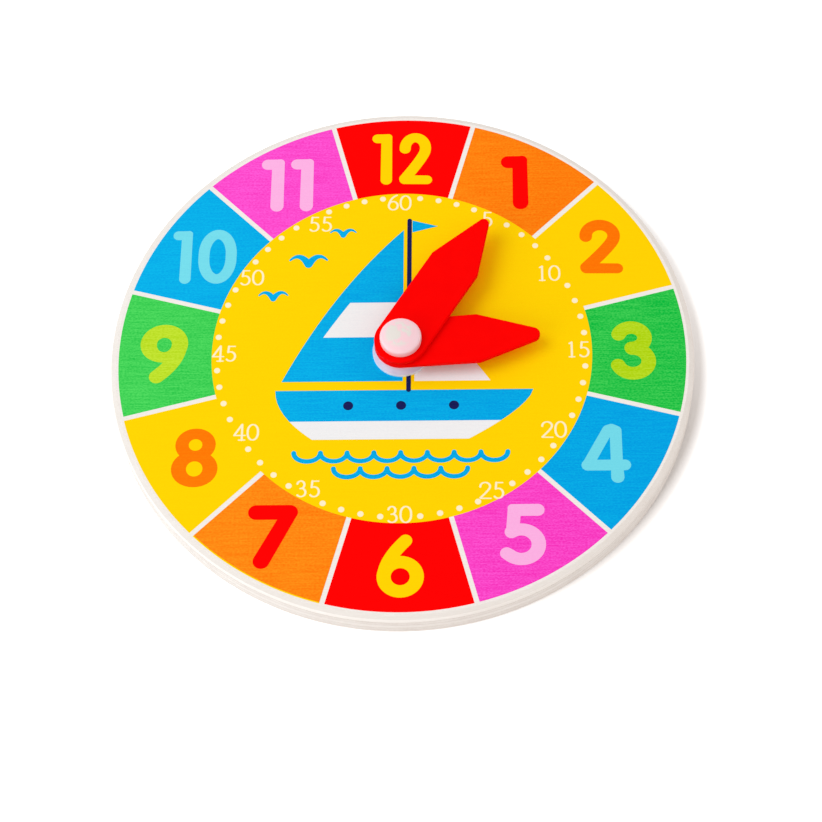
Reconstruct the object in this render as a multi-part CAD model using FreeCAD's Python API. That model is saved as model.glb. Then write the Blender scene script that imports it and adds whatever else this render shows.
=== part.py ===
"""Teaching clock: a round plywood dial with two plastic hands on a push-in pivot.

Millimetres. +Z points out of the dial, +Y to 12 o'clock, +X to 3 o'clock.
The origin is the middle of the board's back face, which the clock rests on.
"""
import FreeCAD, Part
import math
import os

from FreeCAD import Vector

# --- Board ---------------------------------------------------------------------------------
board_diameter = 201.0
ply_thickness = 2.0
rim_easing_width = 1.9        # eased edge on the printed side, in two bevels
rim_easing_depth = 1.2
rim_corner_width = 0.4        # the outer, steeper bevel of the two
rim_corner_depth = 0.7
rim_bevel = 1.0               # bevelled edge on the back
ply_names = ["back_veneer", "lower_crossband", "core_veneer", "upper_crossband", "face_veneer"]
recessed_plies = 2            # plies, counted from the back, that are cut wide for the collar

# --- Hands ---------------------------------------------------------------------------------
hub_radius = 9.1              # round end of both hands
hand_thickness = 1.9
hand_edge_break = 0.3         # moulded bevel round both faces
shoulder_rounding = 1.6
minute_reach = 57.0           # pivot to tip
minute_shoulder = 35.7        # pivot to the widest place
minute_half_width = 9.15
minute_tip_radius = 1.85
hour_reach = 47.7
hour_shoulder = 26.6
hour_half_width = 9.35
hour_tip_radius = 2.6
minute_angle = 31.4           # degrees clockwise from 12
hour_angle = 85.9

# --- Pivot ---------------------------------------------------------------------------------
shank_radius = 2.5
base_radius = 9.9
base_height = 4.4             # from the dial to the seat of the hour hand
base_edge_height = 0.9        # upright edge below the conical flank
base_seat_radius = 7.4
base_wall = 1.3
base_ribs = 4
stem_radius = 4.0             # sleeve through the board
cap_radius = 7.1
cap_height = 3.3
cap_crown = 0.7               # rise of the domed top over its eased edge
cap_easing = 0.8              # width and depth of the eased edge, in two bevels
cap_corner_width = 0.25       # the outer, steeper bevel of the two
cap_corner_depth = 0.5
collar_radius = 8.0
collar_flange = 1.3
collar_hub_radius = 5.2
barb_overhang = 0.7           # how far the barbs stand out from the shank
barb_land = 0.6               # straight part of the barbs
barb_length = 1.7
finger_slot = 1.0             # width of the cross cut in the shank
finger_length = 7.0
pin_inset = 1.1               # the pin's end stays this far inside the back face

# --- Clearances ----------------------------------------------------------------------------
running_fit = 0.08            # radial, hands on the shank
sleeve_fit = 0.1              # radial, shank in sleeve and sleeve in board
seat_gap = 0.1                # axial play under each hand
hand_gap = 0.3                # between the two hands
recess_gap = 0.5              # radial, round the collar
barb_room = 0.7               # radial, round the barbs in the collar's pocket

# --- Levels, counted up from the back face ---------------------------------------------------
board_thickness = ply_thickness * len(ply_names)
recess_floor = ply_thickness * recessed_plies
hour_bottom = board_thickness + base_height + seat_gap
minute_bottom = hour_bottom + hand_thickness + hand_gap
cap_bottom = minute_bottom + hand_thickness + seat_gap
barb_ledge = pin_inset + barb_length

AXIS = Vector(0, 0, 1)
SAME = 1e-6                   # two lengths that differ by less are equal


def disc(radius, bottom, top):
    return Part.makeCylinder(radius, top - bottom, Vector(0, 0, bottom))


def revolve(edges):
    """A solid of revolution about the pivot axis from edges in the XZ plane that form a loop."""
    face = Part.Face(Part.Wire(edges))
    return face.revolve(Vector(0, 0, 0), AXIS, 360)


def profile(points):
    """Straight edges through (radius, height) points, without the closing one."""
    vectors = [Vector(r, 0, z) for r, z in points]
    return [Part.makeLine(a, b) for a, b in zip(vectors, vectors[1:])]


def make_ply(index):
    """One ply of the board, counted from the back; the two outermost have their outer edge eased."""
    bottom = index * ply_thickness
    top = bottom + ply_thickness
    radius = board_diameter / 2
    hole = stem_radius + sleeve_fit
    if index < recessed_plies:
        hole = collar_radius + recess_gap
    lower_edge = [(radius, bottom)]
    upper_edge = [(radius, top)]
    if bottom == 0:
        lower_edge = [(radius - rim_bevel, bottom), (radius, bottom + rim_bevel)]
    if top == board_thickness:
        upper_edge = [
            (radius, top - rim_easing_depth),
            (radius - rim_corner_width, top - rim_easing_depth + rim_corner_depth),
            (radius - rim_easing_width, top),
        ]
    return revolve(profile([(hole, bottom), *lower_edge, *upper_edge, (hole, top), (hole, bottom)]))


def tangent_angle(centre_x, radius, x, y):
    """Angle, seen from a circle's centre, at which the line from (x, y) touches it on its +Y side."""
    distance = math.hypot(x - centre_x, y)
    return math.atan2(y, x - centre_x), math.acos(radius / distance)


def make_hand(reach, shoulder, half_width, tip_radius, angle, bottom):
    """A flat hand: round hub, widest at the shoulders, straight taper to a rounded tip."""
    tip_centre = reach - tip_radius
    towards, spread = tangent_angle(0, hub_radius, shoulder, half_width)
    hub_touch = towards + spread
    towards, spread = tangent_angle(tip_centre, tip_radius, shoulder, half_width)
    tip_touch = towards - spread

    def on_circle(centre_x, radius, turn):
        return Vector(centre_x + radius * math.cos(turn), radius * math.sin(turn), bottom)

    hub_left = on_circle(0, hub_radius, hub_touch)
    hub_right = on_circle(0, hub_radius, -hub_touch)
    tip_left = on_circle(tip_centre, tip_radius, tip_touch)
    tip_right = on_circle(tip_centre, tip_radius, -tip_touch)
    left = Vector(shoulder, half_width, bottom)
    right = Vector(shoulder, -half_width, bottom)
    outline = [
        Part.Arc(hub_left, Vector(-hub_radius, 0, bottom), hub_right).toShape(),
        Part.makeLine(hub_right, right),
        Part.makeLine(right, tip_right),
        Part.Arc(tip_right, Vector(reach, 0, bottom), tip_left).toShape(),
        Part.makeLine(tip_left, left),
        Part.makeLine(left, hub_left),
    ]
    plate = Part.Face(Part.Wire(outline)).extrude(AXIS * hand_thickness)
    corners = [
        edge for edge in plate.Edges
        if len(edge.Vertexes) == 2
        and abs(edge.Vertexes[0].Z - edge.Vertexes[1].Z) > hand_thickness / 2
        and abs(edge.Vertexes[0].X - shoulder) < SAME
    ]
    plate = plate.makeFillet(shoulder_rounding, corners)
    rims = [
        edge for edge in plate.Edges
        if abs(edge.BoundBox.ZMax - edge.BoundBox.ZMin) < SAME
    ]
    plate = plate.makeChamfer(hand_edge_break, rims)
    bore = disc(shank_radius + running_fit, bottom, bottom + hand_thickness)
    hand = plate.cut(bore)
    hand.rotate(Vector(0, 0, 0), AXIS, 90 - angle)
    return hand


def make_pivot_base():
    """Conical base that carries the hands, cored from below, with a sleeve down through the board."""
    dial = board_thickness
    seat = dial + base_height
    edge_top = dial + base_edge_height
    bore = shank_radius + sleeve_fit
    base = revolve(profile([
        (base_radius, dial),
        (base_radius, edge_top),
        (base_seat_radius, seat),
        (bore, seat),
        (bore, recess_floor),
        (stem_radius, recess_floor),
        (stem_radius, dial),
        (base_radius, dial),
    ]))
    core_top = seat - base_wall
    pockets = disc(base_seat_radius, dial, core_top).cut(disc(stem_radius + base_wall, dial, core_top))
    for number in range(base_ribs):
        rib = Part.makeBox(base_radius, base_wall, base_height)
        rib.translate(Vector(0, -base_wall / 2, dial))
        rib.rotate(Vector(0, 0, 0), AXIS, number * 360 / base_ribs)
        pockets = pockets.cut(rib)
    return base.cut(pockets)


def make_pivot_pin():
    """Push-in rivet: a low domed cap, a round shank, and a barbed end split into four fingers."""
    cap_top = cap_bottom + cap_height
    crown_bottom = cap_top - cap_crown
    wall_top = crown_bottom - cap_easing
    crown_edge = cap_radius - cap_easing
    crown_radius = (crown_edge ** 2 + cap_crown ** 2) / (2 * cap_crown)
    half_turn = math.asin(crown_edge / crown_radius) / 2
    crown_middle = Vector(
        crown_radius * math.sin(half_turn),
        0,
        cap_top - crown_radius * (1 - math.cos(half_turn)),
    )
    crown = Part.Arc(Vector(crown_edge, 0, crown_bottom), crown_middle, Vector(0, 0, cap_top))
    barb_radius = shank_radius + barb_overhang
    tip_radius = shank_radius - barb_overhang / 2
    outline = profile([
        (cap_radius, cap_bottom),
        (cap_radius, wall_top),
        (cap_radius - cap_corner_width, wall_top + cap_corner_depth),
        (crown_edge, crown_bottom),
    ])
    outline.append(crown.toShape())
    outline += profile([
        (0, cap_top),
        (0, pin_inset),
        (tip_radius, pin_inset),
        (barb_radius, barb_ledge - barb_land),
        (barb_radius, barb_ledge),
        (shank_radius, barb_ledge),
        (shank_radius, cap_bottom),
        (cap_radius, cap_bottom),
    ])
    pin = revolve(outline)
    slot_reach = barb_radius + finger_slot
    for turn in (0, 90):
        slot = Part.makeBox(2 * slot_reach, finger_slot, finger_length)
        slot.translate(Vector(-slot_reach, -finger_slot / 2, pin_inset))
        slot.rotate(Vector(0, 0, 0), AXIS, turn)
        pin = pin.cut(slot)
    return pin


def make_back_collar():
    """Collar in the recess of the back: a flange on the recess floor and a hub round the barbs."""
    bore = shank_radius + sleeve_fit
    pocket = shank_radius + barb_overhang + barb_room
    hub_bottom = pin_inset - seat_gap
    collar = disc(collar_radius, recess_floor - collar_flange, recess_floor)
    collar = collar.fuse(disc(collar_hub_radius, hub_bottom, recess_floor)).removeSplitter()
    collar = collar.cut(disc(bore, hub_bottom, recess_floor))
    return collar.cut(disc(pocket, hub_bottom, barb_ledge))


def make_parts():
    parts = {name: make_ply(index) for index, name in enumerate(ply_names)}
    parts["pivot_base"] = make_pivot_base()
    parts["hour_hand"] = make_hand(
        hour_reach, hour_shoulder, hour_half_width, hour_tip_radius, hour_angle, hour_bottom)
    parts["minute_hand"] = make_hand(
        minute_reach, minute_shoulder, minute_half_width, minute_tip_radius, minute_angle, minute_bottom)
    parts["pivot_pin"] = make_pivot_pin()
    parts["back_collar"] = make_back_collar()
    return parts


os.makedirs("parts", exist_ok=True)
for name, shape in make_parts().items():
    print(name, "valid", shape.isValid(), "solids", len(shape.Solids), "volume", round(shape.Volume, 1))
    shape.exportStep(os.path.join("parts", name + ".step"))
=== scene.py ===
"""Looks of the teaching clock: camera, studio, materials, and the dial printed on its board.

Blender works in metres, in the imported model's frame: the origin is the middle of the board's back,
+X points to 3 o'clock, +Y to 12 and +Z out of the dial. Lengths here are in millimetres, except
where a comment says metres.
"""

import bmesh
import bpy
import math
import numpy as np
from mathutils import Matrix, Vector
from mathutils.geometry import tessellate_polygon


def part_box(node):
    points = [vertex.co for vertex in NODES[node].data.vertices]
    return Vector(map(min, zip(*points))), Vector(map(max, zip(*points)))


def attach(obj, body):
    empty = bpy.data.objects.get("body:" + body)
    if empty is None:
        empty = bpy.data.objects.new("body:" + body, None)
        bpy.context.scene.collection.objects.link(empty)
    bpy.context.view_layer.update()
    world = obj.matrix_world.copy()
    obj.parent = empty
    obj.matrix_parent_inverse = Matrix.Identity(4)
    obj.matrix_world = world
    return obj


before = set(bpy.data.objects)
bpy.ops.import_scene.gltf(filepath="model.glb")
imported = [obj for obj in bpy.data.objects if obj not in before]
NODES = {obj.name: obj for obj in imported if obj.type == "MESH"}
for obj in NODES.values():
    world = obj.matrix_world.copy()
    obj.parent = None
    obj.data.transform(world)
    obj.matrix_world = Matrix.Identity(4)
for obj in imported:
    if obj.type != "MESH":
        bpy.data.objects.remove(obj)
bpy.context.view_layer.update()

MM = 0.001
BOARD = "dial_board"                       # the body that everything printed rides on

# --- Sizes of the pieces ----------------------------------------------------------------------
FACE_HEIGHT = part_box("face_veneer")[1][2] / MM
BOARD_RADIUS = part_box("face_veneer")[1][0] / MM
BASE_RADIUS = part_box("pivot_base")[1][0] / MM
BASE_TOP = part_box("pivot_base")[1][2] / MM
BASE_EDGE = FACE_HEIGHT + 0.9              # top of the base's upright edge
PIN_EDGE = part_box("pivot_pin")[1][2] / MM - 1.5    # foot of the eased edge of the rivet's cap
PLY = FACE_HEIGHT / 5                      # thickness of each of the five plies

# --- Sizes of the print -----------------------------------------------------------------------
PRINT_RADIUS = BOARD_RADIUS - 2.9
PAINT_RADIUS = BOARD_RADIUS - 1.9          # sanding has bared the wood outside this
CENTRE_RADIUS = 65.5                       # yellow middle of the dial
MIDDLE_HOLE = BASE_RADIUS - 0.5            # bare place in it, under the base
DIVIDER_WIDTH = 1.7
DOT_RING = 63.5                            # radius, and middle, on which the minute dots stand
DOT_MIDDLE = (-0.2, 0.17)
DOT_TURN = 0.23                            # degrees anticlockwise, how far the ring is turned
DOT_RADIUS = 1.04
HOURS = 12
MINUTES = 60
INK = 0.02                                 # thickness of one pass of ink
FIRST_PASS, SECOND_PASS, THIRD_PASS = range(3)     # each printed on top of the one before


# --- Colours ----------------------------------------------------------------------------------
def srgb(red, green, blue):
    """A linear colour from display values of 0 to 255."""
    def linear(value):
        value /= 255
        return value / 12.92 if value <= 0.04045 else ((value + 0.055) / 1.055) ** 2.4
    return (linear(red), linear(green), linear(blue), 1.0)


# Towards 9 o'clock each ink also leans to its thin colour, as painted light from the lamps' side.
INKS = {                                   # each where it lies thickest and where it lies thinnest
    "red": (srgb(252, 0, 0), srgb(255, 0, 0)),
    "orange": (srgb(251, 110, 0), srgb(255, 148, 24)),
    "orange_over_yellow": (srgb(252, 112, 0), srgb(255, 126, 4)),
    "yellow": (srgb(255, 208, 0), srgb(255, 213, 0)),
    "green": (srgb(2, 184, 60), srgb(80, 218, 96)),
    "lime": (srgb(170, 208, 0), srgb(197, 229, 54)),
    "blue": (srgb(0, 155, 226), srgb(8, 183, 235)),
    "pale_blue": (srgb(112, 215, 233), srgb(119, 221, 236)),
    "magenta": (srgb(244, 44, 184), srgb(255, 90, 217)),
    "pink": (srgb(250, 172, 225), srgb(252, 180, 229)),
    "cream": (srgb(252, 236, 196), srgb(252, 240, 204)),
    "white": (srgb(236, 235, 237), srgb(242, 241, 241)),
    "navy": (srgb(20, 24, 80), srgb(30, 34, 90)),
}
PAINT = (srgb(234, 227, 222), srgb(247, 241, 236))
HAND_RED = (srgb(252, 0, 0), srgb(255, 1, 0))
# Painted red reflection of the hands on the rivet's top and side, and a painted highlight on its
# top.
PIN_TOP_PAINTED_RED_REFLECTION = srgb(247, 210, 217)
PIN_PAINTED_HIGHLIGHT = srgb(230, 223, 217)
PIN_SIDE_PAINTED_RED_REFLECTION = srgb(248, 200, 206)
BASE_DARK = srgb(204, 195, 220)
BASE_LIGHT = srgb(214, 205, 226)
# Painted highlight along the base's lower edge, and painted red reflection close to the hands.
BASE_PAINTED_HIGHLIGHT = srgb(232, 236, 244)
BASE_PAINTED_RED_REFLECTION = srgb(250, 194, 212)
BARE_PLASTIC = srgb(235, 234, 239)         # of the pieces where nothing red is near
WOOD_LIGHT = srgb(255, 251, 247)
WOOD_DARK = srgb(226, 217, 210)
# Bare wood at the eased edge: painted shade on the flatter bevel, painted light on the more upright
# one.
SANDED_FLAT_PAINTED_SHADE = srgb(228, 220, 213)
SANDED_STEEP_PAINTED_LIGHT = srgb(254, 249, 244)
GLUE_LINE = srgb(184, 170, 158)
FLOOR_GREY = (0.86, 0.86, 0.86, 1.0)
WHITE = (1.0, 1.0, 1.0, 1.0)

# --- Camera and studio ------------------------------------------------------------------------
CAMERA_AIM = (3.4, -23.2, 10.0)
CAMERA_DISTANCE = 786.9
CAMERA_AZIMUTH = 3.27                      # degrees from -Y towards +X
CAMERA_ELEVATION = 61.15                   # degrees
CAMERA_ROLL = -3.37                        # degrees
CAMERA_SENSOR = 36.0
CAMERA_LENS = 101.57
FAR_CLIP = 10.0                            # metres
AMBIENT = 0.705                            # strength of the surroundings that light the object
AMBIENT_COLOUR = (1.07, 0.99, 0.94)
LAMP_DISTANCE = 2.0                        # metres from the middle of the dial
KEY_DIRECTION = (-0.57, 0.08, 0.82)
KEY_SIZE = 1.3                             # metres across
KEY_COLOUR = (0.81, 1.03, 1.14)
KEY_LIGHT = 1.0                            # what the key and the fill cast on a face turned to them
FILL_LIGHT = 0.66
FILL_DIRECTION = (-0.72, -0.58, 0.36)
FILL_ANGLE = 40.0                          # degrees that it spreads over, which softens its shadows
FLOOR_SIZE = 8.0                           # metres
FLOOR_GAP = 0.02
SHADOW_MIDDLE = (4.6, 3.9)                 # of the round place on the floor that keeps its shadow
SHADOW_RADIUS = BOARD_RADIUS - 1.7
FAR_GLOW = 0.6                             # of the floor, as the camera sees it, outside that place
GLOW_SPREAD = 5.0                          # over which this glow comes up
BEHIND_GLOW = 0.22                         # more of it towards 12 o'clock, between these two places
BEHIND_START, BEHIND_END = -25.0, 30.0
MIX_FIRST, MIX_SECOND, MIX_RESULT = 6, 7, 2    # sockets of a Mix node that carry colours


def make_camera():
    azimuth = math.radians(CAMERA_AZIMUTH)
    elevation = math.radians(CAMERA_ELEVATION)
    outward = Vector((
        math.sin(azimuth) * math.cos(elevation),
        -math.cos(azimuth) * math.cos(elevation),
        math.sin(elevation),
    ))
    data = bpy.data.cameras.new("camera")
    data.lens = CAMERA_LENS
    data.sensor_width = CAMERA_SENSOR
    data.clip_end = FAR_CLIP
    camera = bpy.data.objects.new("camera", data)
    bpy.context.scene.collection.objects.link(camera)
    place = (Vector(CAMERA_AIM) + outward * CAMERA_DISTANCE) * MM
    turn = outward.to_track_quat("Z", "Y").to_matrix().to_4x4()
    roll = Matrix.Rotation(math.radians(CAMERA_ROLL), 4, outward)
    camera.matrix_world = Matrix.Translation(place) @ roll @ turn
    bpy.context.scene.camera = camera


def make_lamp(name, kind, direction, energy, **settings):
    """A lamp in a direction from the middle of the dial, which it shines on."""
    data = bpy.data.lights.new(name, kind)
    data.energy = energy
    for key, value in settings.items():
        setattr(data, key, value)
    lamp = bpy.data.objects.new(name, data)
    bpy.context.scene.collection.objects.link(lamp)
    towards = Vector(direction).normalized()
    turn = towards.to_track_quat("Z", "Y").to_matrix().to_4x4()
    lamp.matrix_world = Matrix.Translation(towards * LAMP_DISTANCE) @ turn


def camera_sees(tree):
    """1 on rays that show the surroundings (from the camera, in a gloss, through glass), else 0."""
    path = tree.nodes.new("ShaderNodeLightPath")
    seen = path.outputs["Is Camera Ray"]
    for ray in ("Is Glossy Ray", "Is Transmission Ray"):
        either = tree.nodes.new("ShaderNodeMath")
        either.operation = "MAXIMUM"
        tree.links.new(seen, either.inputs[0])
        tree.links.new(path.outputs[ray], either.inputs[1])
        seen = either.outputs[0]
    return seen


def make_studio():
    """Surroundings that the camera sees white and that give a tinted light, and two lamps."""
    scene = bpy.context.scene
    scene.view_settings.view_transform = "Standard"
    world = bpy.data.worlds.new("studio")
    scene.world = world
    world.use_nodes = True
    tree = world.node_tree
    colour = tree.nodes.new("ShaderNodeMix")
    colour.data_type = "RGBA"
    light = tuple(AMBIENT * share for share in AMBIENT_COLOUR) + (1,)
    colour.inputs[MIX_FIRST].default_value = light
    colour.inputs[MIX_SECOND].default_value = WHITE
    tree.links.new(camera_sees(tree), colour.inputs[0])
    tree.links.new(colour.outputs[MIX_RESULT], tree.nodes["Background"].inputs["Color"])
    key_power = KEY_LIGHT * math.pi * LAMP_DISTANCE ** 2
    make_lamp(
        "key", "AREA", KEY_DIRECTION, key_power, shape="DISK", size=KEY_SIZE, color=KEY_COLOUR)
    make_lamp("fill", "SUN", FILL_DIRECTION, FILL_LIGHT, angle=math.radians(FILL_ANGLE))


# --- Materials --------------------------------------------------------------------------------
# Sizes of details along X, Y and Z. Those of bare wood are along, across and into its fibres.
STREAK = (12.0, 0.5, 0.4)
SPECKLE = (0.8, 0.45, 0.4)
CLOUD = (14.0, 8.0, 8.0)
WOOD_FIBRE = (30.0, 0.45, 0.3)
WOOD_SPECKLE = (1.2, 0.6, 0.35)
WOOD_FIGURE = (90.0, 6.0, 3.0)
PAINT_WANDER = (5.0, 5.0, 5.0)
HAND_CLOUD = (6.0, 6.0, 6.0)
HAND_PORES = (0.5, 0.5, 0.5)
MILKY_PORES = (0.8, 0.8, 0.8)
# The rivet's painted highlight comes in patches of this size.
CAP_HIGHLIGHT_PATCHES = (3.0, 4.5, 3.0)
BASE_CLOUD = (3.5, 3.5, 3.5)

END_GRAIN_ONSET = 3.0                      # power of the slope: higher keeps it to squarer cuts
GLUE_WIDTH = 0.16                          # of the dark line at each joint between plies
LOWER_JOINTS = 0.4                         # how strong the lower ones are beside the topmost
TOP_JOINT_START, TOP_JOINT_END = 3.3 * PLY, 3.7 * PLY    # heights between which that changes
SANDED_LEVEL, SANDED_STEEP = 0.9, 0.6      # how squarely the edge's two bevels face up, where painted shade gives way to painted light
SANDED_SHARE = 0.6                         # how much of the wood's own tone gives way to the painted light and shade of its bevels
PAINT_FADE = 0.5                           # width over which the paint ends, and how far it wanders
INK_PAINTED_LIGHT_REACH = 220.0                           # from the middle, where the painted light towards 9 o'clock shifts ink half a tone
# Where the painted highlight on the rivet's cap is centred.
PIN_HIGHLIGHT_MIDDLE = (-0.5, 0.5)
PIN_HIGHLIGHT_INNER, PIN_HIGHLIGHT_OUTER = 4.0, 5.4    # radii between which the painted highlight fades out


class Finish:
    """A material under construction: short ways to add and join its nodes."""

    def __init__(self, name, roughness, specular):
        self.material = bpy.data.materials.new(name)
        self.material.use_nodes = True
        self.tree = self.material.node_tree
        self.shader = self.tree.nodes["Principled BSDF"]
        self.set("Roughness", roughness)
        self.set("Specular IOR Level", specular)

    def feed(self, inlet, value):
        """Gives an input a value, or joins another node's output to it."""
        if isinstance(value, bpy.types.NodeSocket):
            self.tree.links.new(value, inlet)
        else:
            inlet.default_value = value

    def set(self, name, value):
        self.feed(self.shader.inputs[name], value)

    def scatter(self, weight, radius, scale):
        """Lets light in: how much, and how far each colour spreads as a share of scale."""
        self.set("Subsurface Weight", weight)
        self.set("Subsurface Radius", radius)
        self.set("Subsurface Scale", scale * MM)

    def bump(self, height, strength, depth):
        """Raises the surface by height (0 to 1) times depth."""
        inputs = {"Height": height, "Strength": strength, "Distance": depth * MM}
        self.set("Normal", self.node("Bump", inputs).outputs["Normal"])

    def node(self, kind, inputs=(), **settings):
        node = self.tree.nodes.new("ShaderNode" + kind)
        for key, value in settings.items():
            setattr(node, key, value)
        for key, value in dict(inputs).items():
            self.feed(node.inputs[key], value)
        return node

    def math(self, operation, first, second=0.0):
        return self.node("Math", {0: first, 1: second}, operation=operation).outputs[0]

    def total(self, *terms):
        """The sum of textures, each times its share."""
        result = 0.0
        for texture, share in terms:
            result = self.math("ADD", result, self.math("MULTIPLY", texture, share))
        return result

    def mix(self, factor, first, second):
        """First colour where the factor is 0, second where it is 1."""
        inputs = {0: factor, MIX_FIRST: first, MIX_SECOND: second}
        return self.node("Mix", inputs, data_type="RGBA").outputs[MIX_RESULT]

    def ramp(self, value, start, end, first=0.0, last=1.0):
        """From first, where a value is start, to last, where it is end, and level beyond both."""
        inputs = {
            "Value": value, "From Min": start, "From Max": end, "To Min": first, "To Max": last,
        }
        return self.node("MapRange", inputs).outputs["Result"]

    def position(self):
        """Where the surface is, in metres."""
        return self.node("TexCoord").outputs["Object"]

    def component(self, vector, axis):
        return self.node("SeparateXYZ", {0: vector}).outputs[axis]

    def facing(self, axis):
        """How squarely the surface faces along an axis: 1 if fully, -1 if the other way."""
        return self.component(self.node("NewGeometry").outputs["Normal"], axis)

    def along(self, axis, start, end, first=0.0, last=1.0):
        """From first, at one place along an axis, to last, at another."""
        place = self.component(self.position(), axis)
        return self.ramp(place, start * MM, end * MM, first, last)

    def distance_from(self, x, y):
        """Distance in the board's plane from a point, in metres."""
        middle = (x * MM, y * MM, 0)
        moved = self.node("VectorMath", {0: self.position(), 1: middle}, operation="SUBTRACT")
        flat = self.node(
            "VectorMath", {0: moved.outputs["Vector"], 1: (1, 1, 0)}, operation="MULTIPLY")
        length = self.node("VectorMath", {0: flat.outputs["Vector"]}, operation="LENGTH")
        return length.outputs["Value"]

    def noise(self, sizes, detail=2.0, low=0.3, high=0.7):
        """Noise whose details measure about sizes (X, Y, Z), with low to high spread to 0 to 1."""
        factors = [1 / (MM * size) for size in sizes]
        place = self.node("Mapping", {"Vector": self.position(), "Scale": factors})
        inputs = {"Vector": place.outputs["Vector"], "Scale": 1.0, "Detail": detail}
        return self.ramp(self.node("TexNoise", inputs).outputs["Fac"], low, high)


def make_floor():
    """Pale paper under the board, with a painted glow that whites out its shadow except near the
    rim.
    """
    bpy.ops.mesh.primitive_plane_add(size=FLOOR_SIZE, location=(0, 0, -FLOOR_GAP * MM))
    floor = bpy.context.object
    floor.name = "floor"
    finish = Finish("floor", roughness=0.9, specular=0.1)
    finish.set("Base Color", FLOOR_GREY)
    finish.set("Emission Color", WHITE)
    # Painted glow, seen by the camera: it whites out the shadow away from the rim, and more towards
    # 12 o'clock.
    glow_start, glow_end = SHADOW_RADIUS * MM, (SHADOW_RADIUS + GLOW_SPREAD) * MM
    far = finish.ramp(
        finish.distance_from(*SHADOW_MIDDLE), glow_start, glow_end, last=FAR_GLOW)
    behind = finish.along("Y", BEHIND_START, BEHIND_END, last=BEHIND_GLOW)
    glow = finish.math("ADD", far, behind)
    finish.set("Emission Strength", finish.math("MULTIPLY", camera_sees(finish.tree), glow))
    floor.data.materials.append(finish.material)


def painted_grain(finish):
    """The grain of the face veneer, from 0 to 1, as it shows through paint and ink."""
    streaks = finish.noise(STREAK, low=0.35, high=0.65)
    speckles = finish.noise(SPECKLE, low=0.38, high=0.62)
    return finish.total((streaks, 0.4), (speckles, 0.5), (finish.noise(CLOUD), 0.1))


def make_ink(name, thick, thin):
    """Ink on the grain of painted veneer, with painted light: a little lighter towards 9 o'clock
    than 3.
    """
    finish = Finish(name, roughness=0.6, specular=0.02)
    texture = painted_grain(finish)
    # Painted light: the ink is lighter towards 9 o'clock, the side the lamps shine from.
    painted_light_towards_nine = finish.along("X", INK_PAINTED_LIGHT_REACH, -INK_PAINTED_LIGHT_REACH, -0.5, 0.5)
    finish.set("Base Color", finish.mix(finish.math("ADD", texture, painted_light_towards_nine), thick, thin))
    finish.bump(texture, strength=0.3, depth=0.02)
    return finish.material


def bare_wood(finish, along_x):
    """Colour and fibres of birch. Long fibres show on faces and on the rim where they run past it,
    darker end grain where the rim cuts them across, and a fine line at each joint between plies."""
    def stretched(length, width, depth):
        return (length, width, depth) if along_x else (width, length, depth)

    fibre = finish.noise(stretched(*WOOD_FIBRE), low=0.35, high=0.65)
    speckle = finish.noise(stretched(*WOOD_SPECKLE), low=0.35, high=0.65)
    figure = finish.noise(stretched(*WOOD_FIGURE), detail=3.0)
    across = finish.math("ABSOLUTE", finish.facing("X" if along_x else "Y"))
    end_grain = finish.math("POWER", across, END_GRAIN_ONSET)
    tone = finish.total((end_grain, 0.25), (fibre, 0.2), (figure, 0.3), (speckle, 0.2))
    wood = finish.mix(tone, WOOD_LIGHT, WOOD_DARK)

    from_joint = finish.math("PINGPONG", finish.component(finish.position(), "Z"), PLY * MM / 2)
    upright = finish.math("SUBTRACT", 1.0, finish.math("ABSOLUTE", finish.facing("Z")))
    glue = finish.math("MULTIPLY", finish.ramp(from_joint, GLUE_WIDTH * MM, 0.0), upright)
    strength = finish.along("Z", TOP_JOINT_START, TOP_JOINT_END, first=LOWER_JOINTS)
    return finish.mix(finish.math("MULTIPLY", glue, strength), wood, GLUE_LINE), fibre


def make_plywood(name, along_x):
    finish = Finish(name, roughness=0.7, specular=0.1)
    wood, fibre = bare_wood(finish, along_x)
    finish.set("Base Color", wood)
    finish.bump(fibre, strength=0.4, depth=0.05)
    return finish.material


def make_face(name):
    """The printed ply: white paint on its top, wood bared by sanding at its eased edge, in painted
    light and shade.
    """
    finish = Finish(name, roughness=0.6, specular=0.08)
    wood, fibre = bare_wood(finish, along_x=True)
    # Painted light and shade by slope: the more upright bevel lighter, the flatter one darker.
    painted_light_by_slope = finish.ramp(finish.facing("Z"), SANDED_LEVEL, SANDED_STEEP)
    sanded_with_painted_light = finish.mix(painted_light_by_slope, SANDED_FLAT_PAINTED_SHADE, SANDED_STEEP_PAINTED_LIGHT)
    bared = finish.mix(SANDED_SHARE, wood, sanded_with_painted_light)
    paint = finish.mix(painted_grain(finish), *PAINT)
    wander = finish.math("MULTIPLY", finish.noise(PAINT_WANDER), PAINT_FADE * MM)
    place = finish.math("ADD", finish.distance_from(0, 0), wander)
    worn = finish.ramp(place, PAINT_RADIUS * MM, (PAINT_RADIUS + PAINT_FADE) * MM)
    finish.set("Base Color", finish.mix(worn, paint, bared))
    finish.bump(fibre, strength=0.3, depth=0.03)
    return finish.material


def make_red_plastic():
    finish = Finish("red_plastic", roughness=0.4, specular=0.02)
    finish.scatter(weight=0.3, radius=(1.0, 0.1, 0.1), scale=1.5)
    finish.set("Base Color", finish.mix(finish.noise(HAND_CLOUD), *HAND_RED))
    finish.bump(finish.noise(HAND_PORES, detail=3.0), strength=0.08, depth=0.02)
    return finish.material


def milky_finish(name):
    """White plastic that lets some light through, before it gets its colours."""
    finish = Finish(name, roughness=0.32, specular=0.3)
    finish.scatter(weight=0.4, radius=(1.0, 0.8, 0.8), scale=2.0)
    finish.bump(finish.noise(MILKY_PORES), strength=0.05, depth=0.02)
    return finish


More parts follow.
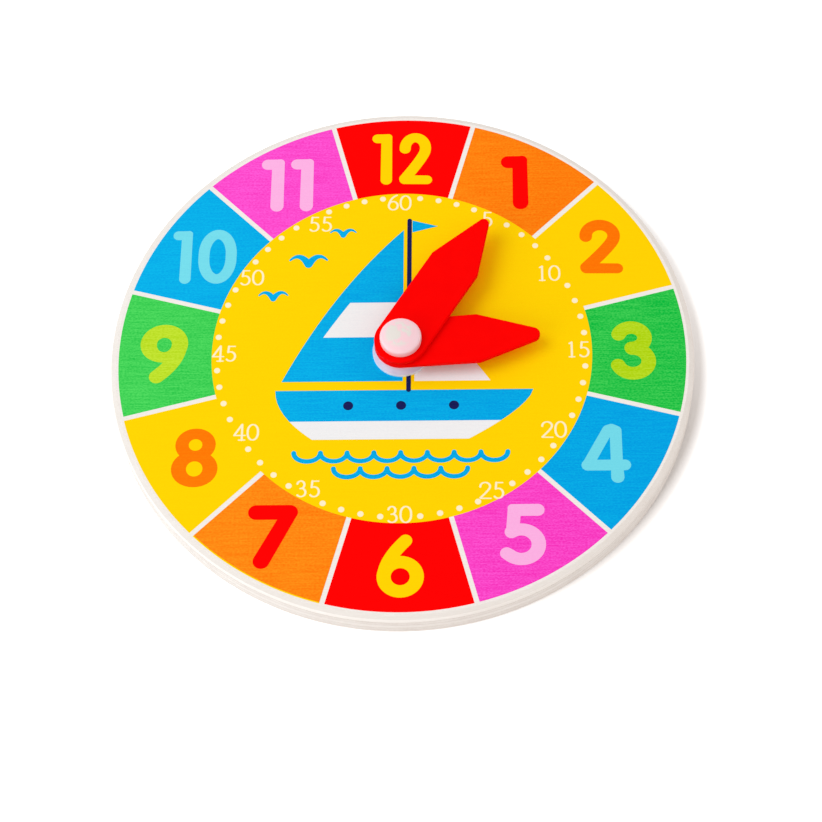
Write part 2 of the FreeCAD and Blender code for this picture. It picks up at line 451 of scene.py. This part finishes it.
def make_pin_plastic():
    """The rivet: painted red reflection of the hands, most at its edge, with a greyer painted
    highlight in the middle.
    """
    finish = milky_finish("pin_plastic")
    # Painted highlight: greyer patches in the middle of the cap.
    highlight_patches = finish.noise(CAP_HIGHLIGHT_PATCHES, detail=3.0, low=0.41, high=0.48)
    middle = finish.ramp(
        finish.distance_from(*PIN_HIGHLIGHT_MIDDLE), PIN_HIGHLIGHT_OUTER * MM, PIN_HIGHLIGHT_INNER * MM)
    top = finish.mix(finish.math("MULTIPLY", highlight_patches, middle), PIN_TOP_PAINTED_RED_REFLECTION, PIN_PAINTED_HIGHLIGHT)
    # Painted red reflection on the cap's side, below the top's painted reflection and highlight.
    cap = finish.mix(finish.along("Z", PIN_EDGE, PIN_EDGE + 0.6), PIN_SIDE_PAINTED_RED_REFLECTION, top)
    # The painted red reflection fades to plain plastic down towards the board's face.
    colour = finish.mix(finish.along("Z", FACE_HEIGHT, BASE_TOP), BARE_PLASTIC, cap)
    finish.set("Base Color", colour)
    return finish.material


def make_base_plastic():
    """The base: lavender, with a painted highlight on its lower edge and painted red reflection by
    the hands.
    """
    finish = milky_finish("base_plastic")
    flank = finish.mix(finish.noise(BASE_CLOUD), BASE_DARK, BASE_LIGHT)
    # Painted highlight on the base's lower edge.
    lower = finish.mix(finish.along("Z", BASE_EDGE - 0.2, BASE_EDGE + 0.3), BASE_PAINTED_HIGHLIGHT, flank)
    # Painted red reflection of the hands at the top of the flank.
    flank_with_painted_light = finish.mix(finish.along("Z", BASE_TOP - 2.0, BASE_TOP - 0.6), lower, BASE_PAINTED_RED_REFLECTION)
    colour = finish.mix(finish.along("Z", FACE_HEIGHT - 0.5, FACE_HEIGHT), BARE_PLASTIC, flank_with_painted_light)
    finish.set("Base Color", colour)
    return finish.material


def dress_cad_nodes():
    """Gives the CAD pieces their finish."""
    lengthwise = make_plywood("plywood_long", along_x=True)
    crosswise = make_plywood("plywood_cross", along_x=False)
    red = make_red_plastic()
    base = make_base_plastic()
    finishes = {
        "face_veneer": make_face("painted_face"),
        "upper_crossband": crosswise,
        "core_veneer": lengthwise,
        "lower_crossband": crosswise,
        "back_veneer": lengthwise,
        "hour_hand": red,
        "minute_hand": red,
        "pivot_base": base,
        "pivot_pin": make_pin_plastic(),
        "back_collar": base,
    }
    for name, material in finishes.items():
        for slot in NODES[name].material_slots:
            slot.material = material


# --- Outlines ---------------------------------------------------------------------------------
OUTLINE_STEP = 0.12                        # grid on which figures' outlines are traced
OUTLINE_ERROR = 0.012                      # how far outlines may stray from the true curve
LEAST_RADIUS = 4.0                         # that arcs are divided for: figures are scaled up later
BEND_STEPS = 16


def arc(x, y, radius_x, radius_y, start, end):
    """Points along part of an ellipse, from one angle to another in degrees."""
    radius = max(radius_x, radius_y, LEAST_RADIUS)
    widest = 2 * math.degrees(math.acos(1 - OUTLINE_ERROR / radius))
    count = max(2, math.ceil(abs(end - start) / widest))
    angles = [math.radians(start + (end - start) * step / count) for step in range(count + 1)]
    return [(x + radius_x * math.cos(a), y + radius_y * math.sin(a)) for a in angles]


def circle(x, y, radius):
    return arc(x, y, radius, radius, 0, 360)[:-1]


def bend(start, control, end):
    """Points along a parabola that leaves start towards control and arrives at end from there."""
    points = []
    for step in range(BEND_STEPS + 1):
        t = step / BEND_STEPS
        points.append(tuple(
            (1 - t) ** 2 * a + 2 * t * (1 - t) * b + t * t * c
            for a, b, c in zip(start, control, end)
        ))
    return points


def distance_to(strokes, xs, ys):
    """How far each grid point is outside the nearest stroke, of points (x, y, half width)."""
    grid_x, grid_y = np.meshgrid(xs, ys)
    nearest = np.full(grid_x.shape, np.inf)
    for stroke in strokes:
        for (ax, ay, ar), (bx, by, br) in zip(stroke, stroke[1:]):
            dx, dy = bx - ax, by - ay
            length_squared = dx * dx + dy * dy
            if length_squared == 0:
                continue
            t = np.clip(((grid_x - ax) * dx + (grid_y - ay) * dy) / length_squared, 0, 1)
            gap = np.hypot(grid_x - ax - t * dx, grid_y - ay - t * dy) - (ar + t * (br - ar))
            nearest = np.minimum(nearest, gap)
    return nearest


# A cell's corners count 1, 2, 4 and 8, anticlockwise from the lower left. Its sides are 0 below,
# 1 right, 2 above and 3 left. Each crossing keeps the inside on its left.
CROSSINGS = {
    1: [(0, 3)], 2: [(1, 0)], 3: [(1, 3)], 4: [(2, 1)], 5: [(0, 3), (2, 1)], 6: [(2, 0)],
    7: [(2, 3)], 8: [(3, 2)], 9: [(0, 2)], 10: [(1, 0), (3, 2)], 11: [(1, 2)], 12: [(3, 1)],
    13: [(0, 1)], 14: [(3, 0)],
}
SIDE_ENDS = {0: ((0, 0), (1, 0)), 1: ((1, 0), (1, 1)), 2: ((0, 1), (1, 1)), 3: ((0, 0), (0, 1))}


def trace(field, xs, ys):
    """Closed loops where a sampled field changes sign, with its negative side on their left."""
    inside = field < 0
    code = inside[:-1, :-1] + 2 * inside[:-1, 1:] + 4 * inside[1:, 1:] + 8 * inside[1:, :-1]
    following = {}
    for row, column in zip(*np.nonzero((code > 0) & (code < 15))):
        for crossed in CROSSINGS[int(code[row, column])]:
            entry, way_out = [
                tuple((column + x, row + y) for x, y in SIDE_ENDS[side]) for side in crossed
            ]
            following[entry] = way_out

    def crossing(side):
        (x0, y0), (x1, y1) = side
        a, b = field[y0, x0], field[y1, x1]
        t = a / (a - b)
        return (xs[x0] + t * (xs[x1] - xs[x0]), ys[y0] + t * (ys[y1] - ys[y0]))

    loops = []
    while following:
        side = next(iter(following))
        loop = []
        while side in following:
            loop.append(crossing(side))
            side = following.pop(side)
        loops.append(loop)
    return loops


def thin_out(loop):
    """The loop without the points that lie on a straight run between those kept."""
    points = np.array(loop + loop[:1])
    kept = [0]
    for end in range(1, len(points) - 1):
        start = points[kept[-1]]
        run = points[end + 1] - start
        between = points[kept[-1] + 1:end + 1] - start
        offsets = np.abs(run[0] * between[:, 1] - run[1] * between[:, 0])
        if offsets.max() > OUTLINE_ERROR * math.hypot(*run):
            kept.append(end)
    return [tuple(points[index]) for index in kept]


def outline(strokes):
    """The joined outline of round-ended strokes: loops, outer ones anticlockwise."""
    corners = np.array([point for stroke in strokes for point in stroke])
    reach = corners[:, 2].max() + 3 * OUTLINE_STEP
    low = corners[:, :2].min(axis=0) - reach
    high = corners[:, :2].max(axis=0) + reach
    xs = np.arange(low[0], high[0], OUTLINE_STEP)
    ys = np.arange(low[1], high[1], OUTLINE_STEP)
    return [thin_out(loop) for loop in trace(distance_to(strokes, xs, ys), xs, ys)]


def add_slab(mesh, loops, bottom, top):
    """Adds a flat solid with these outer and hole loops to a bmesh."""
    flat = [[Vector((x, y, 0)) for x, y in loop] for loop in loops]
    levels = [
        [[mesh.verts.new((p.x * MM, p.y * MM, height * MM)) for p in loop] for loop in flat]
        for height in (bottom, top)
    ]
    lower, upper = [[vert for loop in level for vert in loop] for level in levels]
    for triangle in tessellate_polygon(flat):
        mesh.faces.new([upper[index] for index in triangle])
        mesh.faces.new([lower[index] for index in reversed(triangle)])
    for below, above in zip(*levels):
        for index in range(len(below)):
            after = (index + 1) % len(below)
            mesh.faces.new((below[index], below[after], above[after], above[index]))


def print_piece(name, shapes, layer, material):
    """One printed piece: shapes, each a list of loops, as solids of one pass of ink."""
    mesh = bmesh.new()
    bottom = FACE_HEIGHT + layer * INK
    for loops in shapes:
        add_slab(mesh, loops, bottom, bottom + INK)
    bmesh.ops.recalc_face_normals(mesh, faces=mesh.faces)
    data = bpy.data.meshes.new(name)
    mesh.to_mesh(data)
    mesh.free()
    data.materials.append(material)
    piece = bpy.data.objects.new(name, data)
    bpy.context.scene.collection.objects.link(piece)
    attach(piece, BOARD)


# --- Hours ------------------------------------------------------------------------------------
def bowl(x, y, radius_x, radius_y, start, end, sides, foot=1.0):
    """Part of an ellipse whose stroke is so many times as wide at its left and right, and below."""
    points = []
    for px, py in arc(x, y, radius_x, radius_y, start, end):
        across, up = (px - x) / radius_x, (py - y) / radius_y
        share = 1 + (sides - 1) * across ** 2 + (foot - 1) * min(up, 0) ** 2
        points.append((px, py, share))
    return points


# Centre lines of the figures in a box from -1 to 1 both ways. A third value is the width of the
# stroke at a point as a share of the figure's usual one.
FIGURES = {
    "0": [arc(0, 0.12, 1, 0.88, 0, 180) + arc(0, -0.12, 1, 0.88, 180, 360) + [(1, 0.12)]],
    "1": [[(-1, 0.98, 0.96), (1, 0.98, 0.96)], [(1, 0.98, 0.98), (1, -1, 1.03)]],
    "2": [
        arc(-0.07, 0.5, 0.93, 0.5, 184, -20) + bend((0.81, 0.33), (0.58, 0), (-1.02, -0.95)),
        [(-1.02, -0.99, 0.95), (1, -1.01, 0.93)],
    ],
    "3": [
        arc(-0.08, 0.55, 0.88, 0.45, 160, -90) + [(-0.06, 0.1)],
        [(-0.06, 0.08)] + arc(-0.04, -0.46, 1.04, 0.54, 90, -160),
    ],
    "4": [
        [(0.57, 0.95, 0.93), (0.57, -0.5, 0.93), (0.59, -1, 1.03)],
        [(0.57, 0.95, 0.93), (0.35, 1.03, 0.9), (0.15, 0.99, 0.86), (-1, -0.5, 0.86)],
        [(-1, -0.5, 0.94), (1, -0.5, 0.94)],
    ],
    "5": [
        [(0.96, 1), (-0.5, 1), (-0.62, 0.14)]
        + bowl(-0.1, -0.385, 1.07, 0.595, 124, -130, 1.08) + [(-1.01, -0.75)],
    ],
    "6": [
        bowl(0.02, -0.43, 0.98, 0.58, 0, 360, 1.05),
        bend((0.32, 1), (-0.97, 0.2), (-0.96, -0.48)),
    ],
    "7": [[(-1, 0.98, 1.06), (1, 0.98, 1.06)], [(1.02, 0.98, 1.0), (-0.6, -1, 1.09)]],
    "8": [bowl(0, 0.545, 0.81, 0.47, 90, 450, 1.12), bowl(0, -0.46, 0.94, 0.54, 90, 450, 1.26)],
    "9": [
        bowl(0, 0.415, 0.98, 0.575, 0, 360, 1.08, foot=0.79),
        bend((0.98, 0.5), (1.02, -0.3), (-0.36, -1)),
    ],
}
# Nearly square outer corners, by figure: the corner of the box and where it points. A short stroke
# fills each one, from the corner outwards by this share of the stroke's half width.
SQUARE_CORNERS = {"1": [(1, 0.98, 1, 1)], "5": [(-0.5, 1, -1, 1)]}
CORNER_SHARE = 0.3

# Hour: colour of its sector, colour and half stroke of its figures, the middle of the number, and
# for each figure its shift to the right and its half width and half height.
HOUR_PRINT = {
    1: ("orange", "red", 2.72, (40.2, 70.0), [("1", -0.3, 2.1, 8.85)]),
    2: ("yellow", "orange_over_yellow", 2.2, (70.0, 42.2), [("2", 0.0, 5.3, 9.05)]),
    3: ("green", "lime", 2.5, (79.5, -0.2), [("3", 0.0, 5.2, 9.1)]),
    4: ("blue", "pale_blue", 2.15, (68.7, -40.0), [("4", 0.1, 6.25, 8.95)]),
    5: ("magenta", "pink", 2.2, (40.4, -70.0), [("5", 0.1, 5.35, 9.05)]),
    6: ("red", "yellow", 2.2, (0.1, -81.0), [("6", 0.0, 5.55, 9.1)]),
    7: ("orange", "red", 2.55, (-42.2, -70.0), [("7", 0.0, 5.6, 9.0)]),
    8: ("yellow", "orange_over_yellow", 2.0, (-69.3, -40.5), [("8", 0.0, 5.65, 9.05)]),
    9: ("green", "lime", 2.62, (-82.1, 0.2), [("9", 0.0, 5.55, 9.1)]),
    10: (
        "blue", "pale_blue", 1.95, (-70.1, 39.7),
        [("1", -7.85, 1.55, 9.15), ("0", 4.8, 4.8, 9.3)],
    ),
    11: (
        "magenta", "pink", 2.3, (-41.5, 69.9),
        [("1", -5.4, 1.9, 9.05), ("1", 5.15, 1.88, 9.05)],
    ),
    12: (
        "red", "yellow", 2.0, (-0.4, 80.7),
        [("1", -7.25, 1.65, 9.1), ("2", 5.05, 3.95, 9.2)],
    ),
}
# Sectors where the yellow ink was printed out of line and shows along the rim: how far from the
# usual edge of the print it starts and ends.
YELLOW_EDGES = {7: (-0.25, 0.2), 8: (0.0, 0.15)}


def clock_direction(turn):
    """Angle from +X, in degrees, of a place on the dial given as a share of a full turn."""
    return 90 - 360 * turn


def sector_loop(hour, inner, outer):
    """One hour's sector, half a divider narrower along both sides."""
    middle = clock_direction(hour / HOURS)

    def half_angle(radius):
        return 180 / HOURS - math.degrees(math.asin(DIVIDER_WIDTH / 2 / radius))

    at_outer, at_inner = half_angle(outer), half_angle(inner)
    outer_edge = arc(0, 0, outer, outer, middle - at_outer, middle + at_outer)
    inner_edge = arc(0, 0, inner, inner, middle + at_inner, middle - at_inner)
    return outer_edge + inner_edge


def figure_strokes(character, x, y, half_width, half_height, half_stroke):
    """An hour figure's strokes, placed and sized, with their half width at each point."""
    strokes = []
    for line in FIGURES[character]:
        strokes.append([
            (x + u * half_width, y + v * half_height, half_stroke * (share[0] if share else 1))
            for u, v, *share in line
        ])
    shift = CORNER_SHARE * half_stroke
    for u, v, out_x, out_y in SQUARE_CORNERS.get(character, []):
        corner_x, corner_y = x + u * half_width, y + v * half_height
        strokes.append([
            (corner_x, corner_y, half_stroke),
            (corner_x + out_x * shift, corner_y + out_y * shift, half_stroke - shift),
        ])
    return strokes


def print_hours(inks):
    for hour, (ground, ink, half_stroke, (x, y), figures) in HOUR_PRINT.items():
        offsets = YELLOW_EDGES.get(hour, (0, 0))
        edge_start, edge_end = (PRINT_RADIUS + offset for offset in offsets)
        sector = sector_loop(hour, CENTRE_RADIUS, edge_start)
        print_piece(f"sector_{hour}", [[sector]], FIRST_PASS, inks[ground])
        if hour in YELLOW_EDGES:
            edge = sector_loop(hour, edge_start, edge_end)
            print_piece(f"yellow_edge_{hour}", [[edge]], FIRST_PASS, inks["yellow"])
        shapes = []
        for character, shift, half_width, half_height in figures:
            strokes = figure_strokes(
                character, x + shift, y, half_width, half_height, half_stroke)
            shapes.append(outline(strokes))
        print_piece(f"hour_number_{hour}", shapes, SECOND_PASS, inks[ink])


# --- Minutes ----------------------------------------------------------------------------------
# Minute figures: those of the hours, apart from the ones that have feet or flags of their own.
MINUTE_FIGURES = {
    **FIGURES,
    "1": [[(-0.55, 0.8), (0.1, 0.95)], [(0.1, 0.95), (0.1, -1)], [(-0.7, -1), (0.9, -1)]],
    "3": [
        arc(-0.15, 0.52, 0.75, 0.48, 165, -80) + [(-0.3, 0.04)],
        [(-0.1, 0.06)] + arc(-0.1, -0.45, 0.95, 0.53, 80, -140),
    ],
    "4": [
        [(0.4, 1), (0.4, -1)], [(0.35, 1), (-1, -0.38)],
        [(-1, -0.4), (1, -0.4)], [(-0.2, -1), (0.95, -1)],
    ],
    "5": [
        [(0.8, 0.97), (-0.5, 0.97)], [(-0.5, 0.97), (-0.62, 0.2)],
        [(-0.62, 0.2)] + arc(-0.12, -0.38, 0.98, 0.62, 110, -140),
    ],
    "6": [
        arc(0, -0.4, 1, 0.6, 0, 360),
        bend((0.85, 1.1), (-0.7, 0.75), (-0.98, -0.35)),
    ],
}
THIN_LINE = 0.22                           # half widths of lines that run across and up
THICK_LINE = 0.36
MINUTE_HALF_HEIGHT = 2.95
MINUTE_HALF_WIDTHS = {"0": 1.75, "1": 1.2, "2": 1.75, "3": 1.6, "4": 1.85, "5": 1.65, "6": 1.6}
MINUTE_SPACING = 4.4                       # from figure to figure of one number
MINUTE_CENTRES = {
    5: (30.1, 54.2), 10: (51.1, 31.4), 15: (60.6, 0.4), 20: (51.7, -30.8), 25: (30.6, -53.6),
    30: (-0.3, -62.3), 35: (-30.8, -52.5), 40: (-52.3, -30.9), 45: (-61.0, 0.0),
    50: (-52.8, 30.8), 55: (-29.1, 52.9), 60: (-1.2, 61.6),
}


def nib_strokes(character, x, y):
    """A minute figure as a broad nib draws it: thick where it runs up or down, thin across."""
    half_width = MINUTE_HALF_WIDTHS[character]
    strokes = []
    for line in MINUTE_FIGURES[character]:
        points = [(x + u * half_width, y + v * MINUTE_HALF_HEIGHT) for u, v, *_ in line]
        steps = [(b[0] - a[0], b[1] - a[1]) for a, b in zip(points, points[1:])]
        rises = [abs(dy) / math.hypot(dx, dy) for dx, dy in steps]
        rises.append(rises[-1])
        widths = [THIN_LINE + (THICK_LINE - THIN_LINE) * rise for rise in rises]
        strokes.append([(px, py, width) for (px, py), width in zip(points, widths)])
    return strokes


def print_minutes(inks):
    shapes = []
    for minute, (x, y) in MINUTE_CENTRES.items():
        text = str(minute)
        for index, character in enumerate(text):
            shift = (index - (len(text) - 1) / 2) * MINUTE_SPACING
            shapes.append(outline(nib_strokes(character, x + shift, y)))
    print_piece("minute_numbers", shapes, SECOND_PASS, inks["cream"])
    dots = []
    for minute in range(MINUTES):
        if minute % (MINUTES // HOURS):
            angle = math.radians(clock_direction(minute / MINUTES) + DOT_TURN)
            x = DOT_MIDDLE[0] + DOT_RING * math.cos(angle)
            y = DOT_MIDDLE[1] + DOT_RING * math.sin(angle)
            dots.append([circle(x, y, DOT_RADIUS)])
    print_piece("minute_dots", dots, SECOND_PASS, inks["cream"])


# --- Picture in the middle of the dial ----------------------------------------------------------
MAST = 2.5                                 # places across and up, from the middle of the dial
MASTHEAD = 54.0
BOOM = -11.5
DECK = -15.0
WATERLINE = -27.0
KEEL = -34.0
STERN = -43.0
BOW = 45.0
STERN_RAKE = 13.0                          # how far the ends draw in at the keel
BOW_RAKE = 22.0
HULL_STEPS = 8
MAST_HALF_WIDTH = 0.8
PORTHOLES = (-18, 0, 18)                   # places along the hull
PORTHOLE_RADIUS = 1.7
WAVES = [(-36, -39, 72, 8), (-22.5, -45, 45, 5)]    # left end, top, length, number of bumps
WAVE_DEPTH = 0.36                          # of a bump, as a share of its length
WAVE_HALF_WIDTH = 0.85
GULLS = [(-33, 36, 13), (-45, 22, 10), (-21, 48, 9)]    # where the wings meet, and their span


def hull_part(top, bottom):
    """The slice of the hull between two levels. Both ends draw in towards the keel."""
    levels = [top + (bottom - top) * step / HULL_STEPS for step in range(HULL_STEPS + 1)]
    depths = [(DECK - level) / (DECK - KEEL) for level in levels]
    stern = [(STERN + STERN_RAKE * depth ** 2, level) for depth, level in zip(depths, levels)]
    bow = [(BOW - BOW_RAKE * depth ** 1.5, level) for depth, level in zip(depths, levels)]
    return stern + bow[::-1]


def wave(x, y, width, bumps):
    """A scalloped line of equal arcs, as one stroke's points."""
    step = width / bumps
    points = []
    for bump in range(bumps):
        points += arc(x + (bump + 0.5) * step, y, step / 2, step * WAVE_DEPTH, 180, 360)
    return [(px, py, WAVE_HALF_WIDTH) for px, py in points]


def gull(x, y, span):
    """Two raised wings that thin out towards their tips. Every size is a share of the span."""
    wings = []
    for side in (-1, 1):
        crest = (x + side * 0.24 * span, y + 0.42 * span)
        tip = (x + side * 0.5 * span, y + 0.14 * span)
        wing = bend((x, y), crest, tip)
        widths = [0.11 * span * (1 - 0.75 * step / BEND_STEPS) for step in range(len(wing))]
        wings.append([(px, py, width) for (px, py), width in zip(wing, widths)])
    return wings


def print_picture(inks):
    """A plain sailing boat over two lines of waves, with three gulls behind it."""
    luff = MAST - 2
    mainsail = bend((luff, MASTHEAD - 4), (MAST - 26, 26), (STERN + 2, BOOM)) + [(luff, BOOM)]
    sail_band = bend((MAST - 20.5, 20), (MAST - 25, 13.5), (MAST - 29.6, 6))
    sail_band += [(luff, 6), (luff, 20)]
    jib = [(MAST + 2, BOOM), (MAST + 28, BOOM), (MAST + 2, 26)]
    pennant = [(MAST + 1, MASTHEAD), (MAST + 1, MASTHEAD - 5), (MAST + 10, MASTHEAD - 2.5)]
    mast = outline([[(MAST, DECK, MAST_HALF_WIDTH), (MAST, MASTHEAD, MAST_HALF_WIDTH)]])
    portholes = [[circle(x, (DECK + WATERLINE) / 2, PORTHOLE_RADIUS)] for x in PORTHOLES]
    waves = [outline([wave(*place)]) for place in WAVES]
    gulls = [outline(gull(*place)) for place in GULLS]
    hull, bottom = hull_part(DECK, KEEL), hull_part(WATERLINE, KEEL)
    print_piece("boat_hull", [[hull]], SECOND_PASS, inks["blue"])
    print_piece("boat_mainsail", [[mainsail], [pennant]], SECOND_PASS, inks["blue"])
    print_piece("boat_jib", [[jib]], SECOND_PASS, inks["white"])
    print_piece("boat_bands", [[bottom], [sail_band]], THIRD_PASS, inks["white"])
    print_piece("boat_mast_and_portholes", [mast] + portholes, THIRD_PASS, inks["navy"])
    print_piece("waves_and_gulls", waves + gulls, SECOND_PASS, inks["blue"])


def print_dial():
    inks = {name: make_ink("ink_" + name, thick, thin) for name, (thick, thin) in INKS.items()}
    middle = [circle(0, 0, CENTRE_RADIUS), circle(0, 0, MIDDLE_HOLE)[::-1]]
    print_piece("dial_middle", [middle], FIRST_PASS, inks["yellow"])
    print_hours(inks)
    print_minutes(inks)
    print_picture(inks)


make_camera()
make_studio()
make_floor()
dress_cad_nodes()
print_dial()
